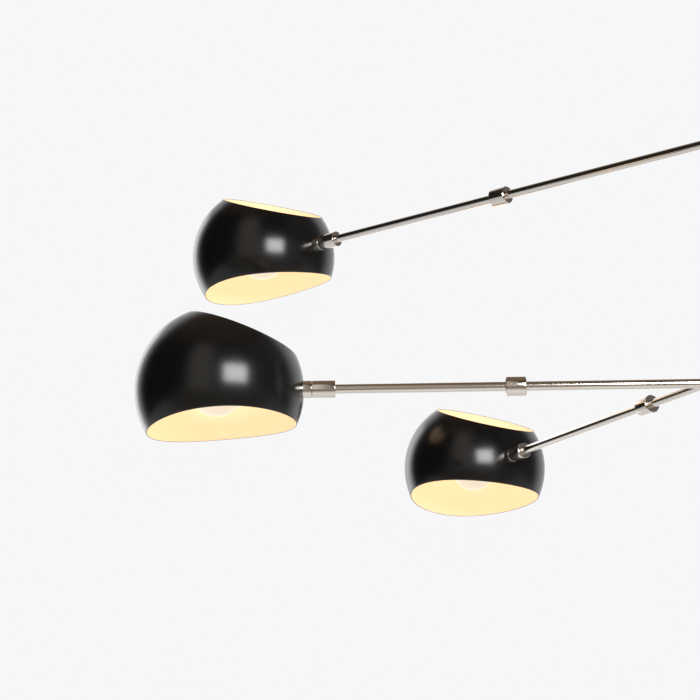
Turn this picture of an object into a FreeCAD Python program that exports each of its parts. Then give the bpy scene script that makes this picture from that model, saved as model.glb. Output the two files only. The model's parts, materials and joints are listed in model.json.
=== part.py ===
"""Tension pole lamp: a spring-loaded floor-to-ceiling pole that carries three swinging arms,
each with a black ball shade that rolls about its own arm.

Millimetres, +Z up. The origin is the centre of the floor pad's underside, on the pole's axis.
Each arm is built along +X from the pole's axis at height zero, then turned to its azimuth and
lifted to its height. In that arm frame the shade's centre is at (reach, 0, 0), and distances
from the shade's centre back towards the pole are called "inboard".
"""
import FreeCAD
import Part

import math
import os

# ---------------------------------------------------------------- driving dimensions
# Pole
pole_diameter = 25.4          # 1 in tube
pole_wall = 1.0
pole_height = 2458.0          # fully extended; a 2438 mm ceiling presses it in by 20 mm
pole_joint_height = 1180.0    # where the lower tube ends and the upper tube begins
coupler_length = 110.0
coupler_wall = 1.6

# Foot and ceiling cups
cup_diameter = 88.0
cup_height = 30.0
cup_rim_height = 4.7          # upright band at the mouth
cup_dome_height = 15.5        # top of the domed part
cup_dome_rise = 3.3           # how far the dome bulges over a straight cone
cup_shoulder = 4.0            # width and height of the slope from the dome to the neck
cup_neck_wall = 4.3
cup_socket_depth = 8.0        # how far the pole's end enters the neck
cup_web = 8.0                 # solid floor of the ceiling cup's neck
pad_diameter = 82.0
pad_clearance = 0.1
pad_thickness = 6.0
pad_proud = 3.0               # how far the rubber stands out of its cup
pad_groove_radii = (14.0, 22.0, 30.0)
pad_groove_width = 1.2
pad_groove_depth = 0.8
pad_chamfer = 1.0
spigot_length = 45.0
spigot_shoulder = 3.6         # radial step from the spigot to its thread
spigot_floor = 8.0            # solid foot of the spigot, under its wire way
wire_way = 8.0                # bore of the spigot's two wire ways
plug_root = 10.0              # how deep the ceiling cup's plug starts in the neck
plug_reach = 14.0             # how far it enters the plunger

# Tension plunger
plunger_exposed = 158.0       # from the upper tube's top to the lamp's top, fully extended
plunger_wall = 1.5
plunger_flange_thickness = 6.0
plunger_flange_gap = 0.4      # radial, inside the upper tube
guide_wall = 2.175            # from the tube's bore to the plunger
guide_length = 24.0
guide_lip = 5.0
guide_lip_width = 2.3         # how far the lip stands out from the tube
guide_chamfer = 0.8
spring_wire = 2.4
spring_diameter = 18.0        # outside
spring_length = 150.0
spring_turns = 14
seat_thickness = 8.0
seat_bore = 8.0

# Arms
rod_diameter = 9.5            # 3/8 in lamp tube
rod_wall = 1.0
mid_arm_height = 1560.0
top_arm_rise = 271.0          # the top arm's height above the middle arm
hub_wall = 6.3
hub_pitch = 32.0              # height from one hub's axis to the next where two are stacked
hub_chamfer = 1.2
stop_collar_height = 6.0
stop_collar_wall = 4.3
stop_collar_chamfer = 0.6
boss_diameter = 17.8
boss_length = 17.0            # from the hub's side to the boss's end face
boss_chamfer = 0.8
rod_seat_depth = 3.0          # how far the rod runs on inside the hub's side
wire_bore = 6.5
wire_slot_height = 8.0
wire_slot_angle = 170.0
friction_screw_diameter = 6.0
friction_screw_inset = 0.5    # under the hub's side
friction_screw_key = 3.0      # hexagon socket across its flats
friction_screw_key_depth = 2.5
collar_screw_diameter = 4.0
collar_screw_inset = 0.28     # under the collar's side

# Collar that joins the two rods of an arm
arm_collar_diameter = 19.8
arm_collar_length = 20.8
arm_collar_chamfer = 0.9
rod_end_gap = 0.6             # between the two rod ends inside the collar

# Shade and its swivel
shade_diameter = 170.0
shade_wall = 1.2
top_opening_distance = 60.6   # from the shade's centre to the plane of the top rim
top_opening_tilt = 21.5       # degrees that the top opening leans towards the pole
bottom_opening_distance = 33.7   # from the centre to the highest stretch of the bottom rim
bottom_opening_tilt = 4.2     # degrees that the bottom opening's upper side leans outwards
bottom_saddle_radius = 490.0  # the bottom rim lies on a cylinder this large, across the arm
ring_length = 8.3             # from the ball to the ring's flat face
ring_seat_depth = 4.0         # stock that is hollowed to sit on the ball
barrel_diameter = 17.8
barrel_length = 23.7          # from the ring's face to the polished end face, seam included
barrel_chamfer = 0.5
barrel_rod_depth = 12.0
rod_tip_gap = 1.0             # between the rod's end and the floor of the barrel's bore
stud_diameter = 10.0
stud_bore = 6.5
stud_grip = 8.7               # length of the stud inside the barrel

# Lamp holder and bulb
nut_thickness = 4.0
nut_across_flats = 15.0
socket_length = 49.0
socket_diameter = 32.0
socket_wall = 1.8
socket_floor = 4.0
socket_chamfer = 2.0
screw_shell_diameter = 28.0
screw_shell_wall = 0.5
screw_shell_length = 26.0
screw_shell_inset = 1.0       # behind the socket's mouth
screw_shell_flange = 2.0
bulb_diameter = 52.0
bulb_wall = 1.0
bulb_tangent = 52.0           # degrees from the bulb's axis to where its ball meets its neck
bulb_neck_length = 29.0       # from the bulb's centre to its cap
bulb_cap_diameter = 26.0
bulb_cap_wall = 1.0
bulb_cap_floor = 2.0
bulb_cap_length = 22.0
bulb_cap_stands_out = 4.0     # how far the cap's end shows in front of the socket's mouth
bulb_contact_length = 3.0
bulb_contact_diameter = 9.0

# Switch and cord inlet
switch_height = 1020.0
switch_length = 64.0
switch_wall = 8.3
switch_bore_clearance = 0.03
switch_chamfer = 3.0
switch_flat_depth = 2.0       # of the flat under the knob
switch_flat_margin = 4.0      # of the flat, above and below the knob
knob_diameter = 20.0
knob_length = 13.0
knob_chamfer = 1.2
knob_flutes = 16
knob_flute_radius = 1.1
knob_flute_offset = 0.5       # of a flute's centre, outside the knob's side
knob_skirt = 2.5              # plain band under the flutes
knob_shaft_diameter = 6.0
pointer_radius = 1.3          # dimple that shows the knob's position
pointer_depth = 0.6
pointer_inset = 3.6
inlet_height = 62.0
inlet_bushing_diameter = 11.0
inlet_bushing_head = 15.0
inlet_bushing_proud = 4.0
inlet_bushing_inset = 0.1     # from the tube's bore to the bushing's inner end
inlet_bore = 6.4

# Clearances
running_gap = 0.08            # radial, for what turns or slides on a fit
thread_gap = 0.02             # radial, for what is screwed or pressed together
face_gap = 0.3                # between flat faces that move on each other
hub_gap = 0.2                 # above and below each hub
overrun = 1.0                 # how far a cutting tool runs past a face

# Where each arm stands: azimuth about the pole in degrees, height of its axis, reach from the
# pole's axis to the shade's centre, roll of the shade about the arm, and inboard distance of
# the arm's collar.
low_arm_height = mid_arm_height + hub_pitch
top_arm_height = mid_arm_height + top_arm_rise
ARMS = {
    "mid": {"azimuth": 176.3, "height": mid_arm_height, "reach": 575.5, "roll": 0.8, "collar": 296.7},
    "low": {"azimuth": 117.3, "height": low_arm_height, "reach": 637.0, "roll": -3.0, "collar": 372.0},
    "top": {"azimuth": 139.2, "height": top_arm_height, "reach": 722.6, "roll": 9.0, "collar": 357.5},
}

# ---------------------------------------------------------------- derived sizes
X_AXIS = FreeCAD.Vector(1, 0, 0)
Y_AXIS = FreeCAD.Vector(0, 1, 0)
Z_AXIS = FreeCAD.Vector(0, 0, 1)
ORIGIN = FreeCAD.Vector(0, 0, 0)

pole_radius = pole_diameter / 2
pole_bore_radius = pole_radius - pole_wall
plunger_radius = pole_bore_radius - guide_wall
rod_radius = rod_diameter / 2
stud_radius = stud_diameter / 2
shade_radius = shade_diameter / 2
hub_radius = pole_radius + hub_wall
hub_height = hub_pitch - stop_collar_height - 2 * hub_gap
boss_reach = hub_radius + boss_length
rod_seat_in_hub = hub_radius - rod_seat_depth
upper_tube_top = pole_height - plunger_exposed
lower_tube_start = cup_height + pad_proud - cup_socket_depth
ceiling_cup_foot = pole_height - cup_height - pad_proud
guide_bottom = upper_tube_top - guide_length
flange_top = guide_bottom - face_gap
flange_bottom = flange_top - plunger_flange_thickness
spring_bottom = flange_bottom - spring_length
switch_centre = switch_height + switch_length / 2

# Inboard distances along an arm, from the ball's wall outwards and inwards
ring_face = shade_radius + ring_length
barrel_end = ring_face + barrel_length
stud_inboard_end = ring_face + stud_grip
nut_corner_radius = nut_across_flats / 2 / math.cos(math.radians(30))
nut_face = math.sqrt((shade_radius - shade_wall) ** 2 - nut_corner_radius ** 2) - face_gap
socket_end = nut_face - nut_thickness
socket_mouth = socket_end - socket_length
bulb_cap_start = socket_mouth - bulb_cap_stands_out
bulb_centre = bulb_cap_start - bulb_neck_length


# ---------------------------------------------------------------- shape helpers
def cylinder(radius, start, end, axis=Z_AXIS, centre=ORIGIN):
    """Solid cylinder along an axis, from one distance along it to another."""
    return Part.makeCylinder(radius, end - start, centre + axis * start, axis)


def tube(radius, bore_radius, start, end, axis=Z_AXIS, centre=ORIGIN):
    """Cylinder with a bore right through it."""
    bore = cylinder(bore_radius, start - overrun, end + overrun, axis, centre)
    return cylinder(radius, start, end, axis, centre).cut(bore)


def chamfer_rims(shape, size, radius, places, axis_name):
    """Chamfer the circular edges of one radius that lie at the named places along an axis."""
    edges = []
    for edge in shape.Edges:
        if not isinstance(edge.Curve, Part.Circle):
            continue
        place = getattr(edge.Curve.Center, axis_name)
        if abs(edge.Curve.Radius - radius) < 0.01 and any(abs(place - p) < 0.01 for p in places):
            edges.append(edge)
    return shape.makeChamfer(size, edges)


def hexagon(across_flats, start, end):
    """Solid hexagonal bar along X, between two distances."""
    corner = across_flats / 2 / math.cos(math.radians(30))
    points = []
    for side in range(7):
        angle = math.radians(60 * side)
        points.append(FreeCAD.Vector(start, corner * math.cos(angle), corner * math.sin(angle)))
    return Part.Face(Part.makePolygon(points)).extrude(FreeCAD.Vector(end - start, 0, 0))


def export(shape, node):
    """Write one sub-part."""
    shape.exportStep("parts/" + node + ".step")


# ---------------------------------------------------------------- pole
def make_cup():
    """Spun cup with its mouth down at height zero, and a neck that takes the pole's end."""
    outer = cup_diameter / 2
    neck = pole_radius + cup_neck_wall
    rim = FreeCAD.Vector(outer, 0, cup_rim_height)
    dome = FreeCAD.Vector(neck + cup_shoulder, 0, cup_dome_height)
    neck_foot = FreeCAD.Vector(neck, 0, cup_dome_height + cup_shoulder)
    neck_top = FreeCAD.Vector(neck, 0, cup_height)
    slope = (dome - rim).normalize()
    bulge = (rim + dome) / 2 + FreeCAD.Vector(slope.z, 0, -slope.x) * cup_dome_rise
    top_centre = FreeCAD.Vector(0, 0, cup_height)
    mouth = FreeCAD.Vector(outer, 0, 0)
    corners = [dome, neck_foot, neck_top, top_centre, ORIGIN, mouth, rim]
    edges = [Part.Arc(rim, bulge, dome).toShape()]
    for start, end in zip(corners, corners[1:]):
        edges.append(Part.LineSegment(start, end).toShape())
    body = Part.Face(Part.Wire(edges)).revolve(ORIGIN, Z_AXIS, 360)
    pocket = cylinder(pad_diameter / 2 + pad_clearance, -overrun, pad_thickness - pad_proud)
    pole_socket = cylinder(pole_radius + thread_gap, cup_height - cup_socket_depth, cup_height + overrun)
    screw_hole = cylinder(pole_bore_radius - spigot_shoulder, -overrun, cup_height + overrun)
    return body.cut(pocket).cut(pole_socket).cut(screw_hole)


def make_pad():
    """Ribbed rubber disc whose outer face is at height zero."""
    pad = cylinder(pad_diameter / 2, 0, pad_thickness)
    pad = chamfer_rims(pad, pad_chamfer, pad_diameter / 2, [0], "z")
    for radius in pad_groove_radii:
        pad = pad.cut(tube(radius + pad_groove_width, radius, -overrun, pad_groove_depth))
    return pad


def make_foot_spigot():
    """Plug that joins the foot cup to the tube, with the ways that the wires take through it."""
    top = lower_tube_start + spigot_length
    plug = cylinder(pole_bore_radius - thread_gap, lower_tube_start, top)
    thread = cylinder(pole_bore_radius - spigot_shoulder - thread_gap, pad_thickness, lower_tube_start)
    upright_way = cylinder(wire_way / 2, lower_tube_start + spigot_floor, top + overrun)
    side_way = cylinder(wire_way / 2, 0, pole_radius, Y_AXIS, Z_AXIS * inlet_height)
    return plug.fuse(thread).removeSplitter().cut(upright_way).cut(side_way)


def cut_wire_slot(shape, azimuth, height):
    """Cut the part-turn slot behind a hub, through which an arm's wires leave the pole."""
    foot = FreeCAD.Vector(0, 0, height - wire_slot_height / 2)
    wedge = Part.makeCylinder(pole_radius + overrun, wire_slot_height, foot, Z_AXIS, wire_slot_angle)
    wedge.rotate(ORIGIN, Z_AXIS, azimuth - wire_slot_angle / 2)
    return shape.cut(wedge)


def make_pole():
    """Foot, the two pole tubes and their coupler."""
    export(make_pad(), "floor_pad")
    foot_cup = make_cup()
    foot_cup.translate(Z_AXIS * pad_proud)
    export(foot_cup, "foot_cup")
    export(make_foot_spigot(), "foot_spigot")

    lower_tube = tube(pole_radius, pole_bore_radius, lower_tube_start, pole_joint_height)
    bushing_radius = inlet_bushing_diameter / 2 + thread_gap
    bushing_hole = cylinder(bushing_radius, 0, pole_radius + overrun, Y_AXIS, Z_AXIS * inlet_height)
    switch_hole = cylinder(wire_bore, 0, pole_radius + overrun, -Y_AXIS, Z_AXIS * switch_centre)
    export(lower_tube.cut(bushing_hole).cut(switch_hole), "lower_tube")

    coupler = tube(
        pole_bore_radius - thread_gap,
        pole_bore_radius - coupler_wall,
        pole_joint_height - coupler_length / 2,
        pole_joint_height + coupler_length / 2,
    )
    export(coupler, "pole_coupler")

    upper_tube = tube(pole_radius, pole_bore_radius, pole_joint_height, upper_tube_top - guide_lip)
    for arm in ARMS.values():
        upper_tube = cut_wire_slot(upper_tube, arm["azimuth"], arm["height"])
    export(upper_tube, "upper_tube")


def collar_heights():
    """Centre heights of the stop collars: one under and one over each hub, shared in a stack."""
    heights = []
    for arm in ARMS.values():
        for side in (-1, 1):
            height = arm["height"] + side * hub_pitch / 2
            if not any(abs(height - other) < stop_collar_height for other in heights):
                heights.append(height)
    return heights


def make_stop_collars():
    """The collars locked on the upper tube, between which the hubs turn, and each one's grub screw."""
    collars = []
    screws = []
    half = stop_collar_height / 2
    inner = pole_radius + thread_gap
    outer = pole_radius + stop_collar_wall
    screw_radius = collar_screw_diameter / 2
    for height in collar_heights():
        collar = tube(outer, inner, height - half, height + half)
        collar = chamfer_rims(collar, stop_collar_chamfer, outer, [height - half, height + half], "z")
        centre = Z_AXIS * height
        hole = cylinder(screw_radius + thread_gap, 0, outer + overrun, Y_AXIS, centre)
        collars.append(collar.cut(hole))
        screws.append(cylinder(screw_radius, inner, outer - collar_screw_inset, Y_AXIS, centre))
    export(Part.makeCompound(collars), "stop_collars")
    export(Part.makeCompound(screws), "collar_screws")


def make_tension_top():
    """The sprung plunger at the pole's top, its guide and seat, and the ceiling cup and pad."""
    lip_radius = pole_radius + guide_lip_width
    slide_radius = plunger_radius + running_gap
    guide = tube(pole_bore_radius - thread_gap, slide_radius, guide_bottom, upper_tube_top)
    guide = guide.fuse(tube(lip_radius, slide_radius, upper_tube_top - guide_lip, upper_tube_top))
    guide = chamfer_rims(guide.removeSplitter(), guide_chamfer, lip_radius, [upper_tube_top], "z")
    export(guide, "plunger_guide")

    rod_top = ceiling_cup_foot + cup_socket_depth
    rod = cylinder(plunger_radius, flange_top, rod_top)
    flange = cylinder(pole_bore_radius - plunger_flange_gap, flange_bottom, flange_top)
    hollow = cylinder(plunger_radius - plunger_wall, flange_top, rod_top + overrun)
    export(rod.fuse(flange).removeSplitter().cut(hollow), "plunger_rod")

    seat_top = spring_bottom - face_gap
    seat = tube(pole_bore_radius - thread_gap, seat_bore / 2, seat_top - seat_thickness, seat_top)
    export(seat, "spring_seat")
    export(make_spring(), "tension_spring")

    ceiling_cup = make_cup()
    socket_floor_height = cup_height - cup_socket_depth
    plug_radius = plunger_radius - plunger_wall - thread_gap
    plug = cylinder(plug_radius, socket_floor_height - plug_root, cup_height + plug_reach)
    neck_radius = pole_radius + thread_gap
    web = cylinder(neck_radius, socket_floor_height - cup_web, socket_floor_height)
    sleeve = tube(neck_radius, plunger_radius + thread_gap, socket_floor_height, cup_height)
    ceiling_cup = ceiling_cup.fuse(web).fuse(sleeve).fuse(plug).removeSplitter()
    ceiling_cup.rotate(ORIGIN, X_AXIS, 180)
    ceiling_cup.translate(Z_AXIS * (pole_height - pad_proud))
    export(ceiling_cup, "ceiling_cup")
    pad = make_pad()
    pad.rotate(ORIGIN, X_AXIS, 180)
    pad.translate(Z_AXIS * pole_height)
    export(pad, "ceiling_pad")


def make_spring():
    """Compression spring between the seat and the plunger's flange, one unbroken wire."""
    coil_radius = (spring_diameter - spring_wire) / 2
    rise = spring_length - spring_wire - 2 * face_gap
    path = Part.makeHelix(rise / spring_turns, rise, coil_radius)
    section = Part.Wire(Part.makeCircle(spring_wire / 2, FreeCAD.Vector(coil_radius, 0, 0), Y_AXIS))
    spring = Part.Wire(path.Edges).makePipeShell([section], True, True)
    spring.translate(Z_AXIS * (spring_bottom + face_gap + spring_wire / 2))
    return spring


def make_switch():
    """The rotary switch's sleeve on the pole, and the knob on its front."""
    top = switch_height + switch_length
    outer = pole_radius + switch_wall
    housing = tube(outer, pole_radius + switch_bore_clearance, switch_height, top)
    housing = chamfer_rims(housing, switch_chamfer, outer, [switch_height, top], "z")
    centre = Z_AXIS * switch_centre
    flat_height = knob_diameter + 2 * switch_flat_margin
    flat = Part.makeBox(2 * outer, 2 * switch_flat_depth, flat_height)
    flat.translate(FreeCAD.Vector(-outer, -outer - switch_flat_depth, switch_centre - flat_height / 2))
    shaft_radius = knob_shaft_diameter / 2
    shaft_hole = cylinder(shaft_radius + running_gap, 0, outer + overrun, -Y_AXIS, centre)
    export(housing.cut(flat).cut(shaft_hole), "switch_housing")

    knob_radius = knob_diameter / 2
    foot = outer - switch_flat_depth + face_gap
    face = foot + knob_length
    knob = cylinder(knob_radius, foot, face, -Y_AXIS, centre)
    knob = chamfer_rims(knob, knob_chamfer, knob_radius, [-face], "y")
    for flute in range(knob_flutes):
        angle = math.radians(360 / knob_flutes * (flute + 0.5))
        around = FreeCAD.Vector(math.cos(angle), 0, math.sin(angle))
        place = centre + around * (knob_radius + knob_flute_offset)
        knob = knob.cut(cylinder(knob_flute_radius, foot + knob_skirt, face + overrun, -Y_AXIS, place))
    shaft = cylinder(shaft_radius, pole_radius + face_gap, foot, -Y_AXIS, centre)
    pointer_place = centre + Z_AXIS * (knob_radius - pointer_inset)
    pointer = cylinder(pointer_radius, face - pointer_depth, face + overrun, -Y_AXIS, pointer_place)
    export(knob.fuse(shaft).removeSplitter().cut(pointer), "switch_knob")


def make_cord_bushing():
    """Bushing in the cord inlet, whose head is hollowed to lie on the tube."""
    inlet = Z_AXIS * inlet_height
    plug_radius = inlet_bushing_diameter / 2
    head_radius = inlet_bushing_head / 2
    end = pole_radius + inlet_bushing_proud
    plug = cylinder(plug_radius, pole_bore_radius + inlet_bushing_inset, end, Y_AXIS, inlet)
    head = cylinder(head_radius, pole_bore_radius, end, Y_AXIS, inlet)
    half = head_radius + overrun
    around_pole = cylinder(pole_radius, inlet_height - half, inlet_height + half)
    bore = cylinder(inlet_bore / 2, 0, end + overrun, Y_AXIS, inlet)
    export(head.cut(around_pole).fuse(plug).removeSplitter().cut(bore), "cord_bushing")


# ---------------------------------------------------------------- arm pieces, in the arm frame
def inboard(reach, distance):
    """X of a point that lies a distance from the shade's centre towards the pole."""
    return reach - distance


def make_hub():
    """Turning hub with the boss that takes the arm's rod, and a hole for its friction screw."""
    half = hub_height / 2
    body = cylinder(hub_radius, -half, half)
    body = chamfer_rims(body, hub_chamfer, hub_radius, [-half, half], "z")
    boss = cylinder(boss_diameter / 2, 0, boss_reach, X_AXIS)
    boss = chamfer_rims(boss, boss_chamfer, boss_diameter / 2, [boss_reach], "x")
    body = body.fuse(boss).removeSplitter()
    body = body.cut(cylinder(pole_radius + running_gap, -half - overrun, half + overrun))
    body = body.cut(cylinder(rod_radius + thread_gap, rod_seat_in_hub, boss_reach + overrun, X_AXIS))
    body = body.cut(cylinder(wire_bore / 2, 0, rod_seat_in_hub + overrun, X_AXIS))
    return body.cut(cylinder(friction_screw_diameter / 2 + thread_gap, 0, hub_radius + overrun, -X_AXIS))


def make_friction_screw():
    """Grub screw that presses the hub on the pole, with its hexagon key socket."""
    end = hub_radius - friction_screw_inset
    screw = cylinder(friction_screw_diameter / 2, pole_radius + face_gap, end, -X_AXIS)
    return screw.cut(hexagon(friction_screw_key, -end - overrun, -end + friction_screw_key_depth))


def make_arm_collar(middle):
    """Collar that joins the two rods of an arm, chamfered and polished at both ends."""
    half = arm_collar_length / 2
    outer = arm_collar_diameter / 2
    collar = tube(outer, rod_radius + thread_gap, middle - half, middle + half, X_AXIS)
    return chamfer_rims(collar, arm_collar_chamfer, outer, [middle - half, middle + half], "x")


def make_barrel(reach):
    """Swivel barrel: the rod enters its inboard face, and the stud screws into the other."""
    face = inboard(reach, barrel_end)
    nose = inboard(reach, ring_face + face_gap)
    barrel = cylinder(barrel_diameter / 2, face, nose, X_AXIS)
    barrel = chamfer_rims(barrel, barrel_chamfer, barrel_diameter / 2, [face, nose], "x")
    barrel = barrel.cut(cylinder(rod_radius + thread_gap, face - overrun, face + barrel_rod_depth, X_AXIS))
    barrel = barrel.cut(cylinder(wire_bore / 2, face, nose + overrun, X_AXIS))
    stud_end = inboard(reach, stud_inboard_end)
    return barrel.cut(cylinder(stud_radius + thread_gap, stud_end, nose + overrun, X_AXIS))


def make_stud(reach):
    """Hollow stud on which the shade rolls, from the barrel into the socket's end."""
    start = inboard(reach, stud_inboard_end - thread_gap)
    return tube(stud_radius, stud_bore / 2, start, inboard(reach, socket_end - socket_floor), X_AXIS)


def make_lock_nut(reach):
    """Nut on the stud, inside the shade, that holds the shade against the ring."""
    start = inboard(reach, nut_face)
    end = inboard(reach, socket_end)
    hole = cylinder(stud_radius + thread_gap, start - overrun, end + overrun, X_AXIS)
    return hexagon(nut_across_flats, start, end).cut(hole)


def make_socket_shell(reach):
    """Lamp holder: a cup with its closed end on the stud and its mouth at the bulb."""
    end = inboard(reach, socket_end)
    mouth = inboard(reach, socket_mouth)
    outer = socket_diameter / 2
    shell = cylinder(outer, end, mouth, X_AXIS)
    shell = chamfer_rims(shell, socket_chamfer, outer, [end], "x")
    shell = shell.cut(cylinder(outer - socket_wall, end + socket_floor, mouth + overrun, X_AXIS))
    return shell.cut(cylinder(stud_radius + thread_gap, end - overrun, mouth, X_AXIS))


def make_screw_shell(reach):
    """Thin threaded shell inside the lamp holder, with the flange that holds it there."""
    outer = screw_shell_diameter / 2
    front = inboard(reach, socket_mouth + screw_shell_inset)
    back = front - screw_shell_length
    shell = tube(outer, outer - screw_shell_wall, back, front, X_AXIS)
    flange_radius = socket_diameter / 2 - socket_wall - thread_gap
    flange = tube(flange_radius, outer - 2 * screw_shell_wall, back - screw_shell_flange, back, X_AXIS)
    return shell.fuse(flange).removeSplitter()


def bulb_envelope(radius, cap_radius, centre, neck_end):
    """Round bulb about X: a sphere that blends through a cone into a neck."""
    ball = Part.makeSphere(radius, FreeCAD.Vector(centre, 0, 0))
    tangent = math.radians(bulb_tangent)
    cone_length = centre - radius * math.cos(tangent) - neck_end
    neck = FreeCAD.Vector(neck_end, 0, 0)
    cone = Part.makeCone(cap_radius, radius * math.sin(tangent), cone_length, neck, X_AXIS)
    return ball.fuse(cone).removeSplitter()


def make_bulb(reach):
    """Glass envelope and metal cap of the bulb."""
    centre = inboard(reach, bulb_centre)
    neck_end = inboard(reach, bulb_cap_start)
    cap_radius = bulb_cap_diameter / 2
    outside = bulb_envelope(bulb_diameter / 2, cap_radius, centre, neck_end)
    inside = bulb_envelope(bulb_diameter / 2 - bulb_wall, cap_radius - bulb_wall, centre, neck_end)
    cap_back = neck_end - bulb_cap_length
    cap = cylinder(cap_radius, cap_back, neck_end, X_AXIS)
    hollow = cylinder(cap_radius - bulb_cap_wall, cap_back + bulb_cap_floor, neck_end + overrun, X_AXIS)
    contact = cylinder(bulb_contact_diameter / 2, cap_back - bulb_contact_length, cap_back, X_AXIS)
    return outside.cut(inside), cap.cut(hollow).fuse(contact).removeSplitter()


def make_ring(reach):
    """Short ring between the ball and the barrel, hollowed to sit on the ball."""
    face = inboard(reach, ring_face)
    ring = cylinder(barrel_diameter / 2, face, inboard(reach, shade_radius - ring_seat_depth), X_AXIS)
    ring = chamfer_rims(ring, barrel_chamfer, barrel_diameter / 2, [face], "x")
    ball = Part.makeSphere(shade_radius, FreeCAD.Vector(reach, 0, 0))
    bore = cylinder(stud_radius + running_gap, face - overrun, reach, X_AXIS)
    return ring.cut(ball).cut(bore)


def make_shade(reach):
    """Ball shade: a thin shell with a tilted round top opening and a saddle bottom opening."""
    shell = Part.makeSphere(shade_radius).cut(Part.makeSphere(shade_radius - shade_wall))
    span = 3 * shade_radius
    above = Part.makeBox(span, span, span, FreeCAD.Vector(-span / 2, -span / 2, top_opening_distance))
    above.rotate(ORIGIN, Y_AXIS, -top_opening_tilt)
    saddle_axis = FreeCAD.Vector(0, -span / 2, -bottom_opening_distance - bottom_saddle_radius)
    below = Part.makeCylinder(bottom_saddle_radius, span, saddle_axis, Y_AXIS)
    below.rotate(ORIGIN, Y_AXIS, bottom_opening_tilt)
    shell = shell.cut(above).cut(below)
    shell.translate(FreeCAD.Vector(reach, 0, 0))
    return shell.cut(cylinder(stud_radius + running_gap, 0, reach, X_AXIS))


def place_arm(shape, arm):
    """Turn a piece from the arm frame to its azimuth about the pole, and lift it."""
    shape.rotate(ORIGIN, Z_AXIS, arm["azimuth"])
    shape.translate(Z_AXIS * arm["height"])
    return shape


def make_arm(name, arm):
    """All the pieces of one arm, written as nodes that end in the arm's name."""
    reach = arm["reach"]
    collar_middle = inboard(reach, arm["collar"])
    rod_bore = rod_radius - rod_wall
    rod_tip = inboard(reach, barrel_end) + barrel_rod_depth - rod_tip_gap
    glass, cap = make_bulb(reach)
    pieces = {
        "hub": make_hub(),
        "friction_screw": make_friction_screw(),
        "inner_rod": tube(rod_radius, rod_bore, rod_seat_in_hub, collar_middle - rod_end_gap / 2, X_AXIS),
        "arm_collar": make_arm_collar(collar_middle),
        "outer_rod": tube(rod_radius, rod_bore, collar_middle + rod_end_gap / 2, rod_tip, X_AXIS),
        "barrel": make_barrel(reach),
        "stud": make_stud(reach),
        "lock_nut": make_lock_nut(reach),
        "socket": make_socket_shell(reach),
        "screw_shell": make_screw_shell(reach),
        "bulb_cap": cap,
        "bulb_glass": glass,
        "swivel_ring": make_ring(reach),
        "shade": make_shade(reach),
    }
    for piece in ("swivel_ring", "shade"):
        pieces[piece].rotate(ORIGIN, -X_AXIS, arm["roll"])
    for piece, shape in pieces.items():
        export(place_arm(shape, arm), piece + "_" + name)


# ---------------------------------------------------------------- the lamp
os.makedirs("parts", exist_ok=True)
make_pole()
make_stop_collars()
make_tension_top()
make_switch()
make_cord_bushing()
for arm_name, arm_values in ARMS.items():
    make_arm(arm_name, arm_values)
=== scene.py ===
"""Looks of the tension pole lamp: three ball shades on slender arms that swing about a sprung pole.

Metres, +Z up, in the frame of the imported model. Each arm has its own frame: the origin is the
centre of its ball shade, +X points outboard (from the pole to the shade), +Z points up, and an
"inboard" distance is measured from the shade's centre back towards the pole.
"""
import json
import logging
import math
from dataclasses import dataclass, field
from enum import Enum
from typing import Callable, Dict, List, Sequence, Tuple

import bmesh
import bpy
from mathutils import Matrix, Vector


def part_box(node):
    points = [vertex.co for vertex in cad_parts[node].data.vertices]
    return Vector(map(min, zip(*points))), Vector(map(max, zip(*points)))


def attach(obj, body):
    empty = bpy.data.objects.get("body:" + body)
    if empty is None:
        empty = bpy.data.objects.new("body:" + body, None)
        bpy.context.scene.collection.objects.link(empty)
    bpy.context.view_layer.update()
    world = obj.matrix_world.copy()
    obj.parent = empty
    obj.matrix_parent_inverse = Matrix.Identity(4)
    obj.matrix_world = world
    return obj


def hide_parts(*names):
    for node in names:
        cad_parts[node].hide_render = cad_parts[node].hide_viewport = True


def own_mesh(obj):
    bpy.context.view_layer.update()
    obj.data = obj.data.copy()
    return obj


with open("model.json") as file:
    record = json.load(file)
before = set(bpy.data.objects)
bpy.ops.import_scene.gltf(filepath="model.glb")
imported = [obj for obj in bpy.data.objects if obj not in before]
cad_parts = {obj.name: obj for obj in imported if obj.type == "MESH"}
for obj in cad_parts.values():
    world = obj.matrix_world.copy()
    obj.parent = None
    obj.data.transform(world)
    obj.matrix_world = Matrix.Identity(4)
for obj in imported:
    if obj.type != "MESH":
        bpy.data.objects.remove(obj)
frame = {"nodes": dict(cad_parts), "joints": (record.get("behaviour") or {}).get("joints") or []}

log = logging.getLogger("pole_lamp")

Colour = Tuple[float, float, float]
Point = Tuple[float, float]
Place = Tuple[float, float, float]
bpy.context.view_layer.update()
MM = 0.001
BLACK = (0.0, 0.0, 0.0)
MIDDLE = 0.5  # a noise texture's usual value
ON_AXIS = 1e-7  # an outline's radius below this is a point on the axis
CLOSE_FIT = 0.02 * MM  # play between pieces that are joined for good
EDGE_SUPPORT = 2.5  # distance from an edge to the ring beside it, in sizes of the edge


# ---------------------------------------------------------------- choices and sizes
class ArmName(Enum):
    """The three arms, named by where their shades stand in the photograph."""

    MID = "mid"
    LOW = "low"
    TOP = "top"


class Finish(Enum):
    """The record's material slots that new pieces take their finish from."""

    NICKEL = "nickel"
    ENAMEL = "black_enamel"
    RUBBER = "rubber"
    STEEL = "steel"
    SPRING = "spring_steel"
    PHENOLIC = "phenolic"
    BRASS = "brass"
    GLASS = "bulb_glass"
    CAP = "bulb_cap"
    NYLON = "plastic"


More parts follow.
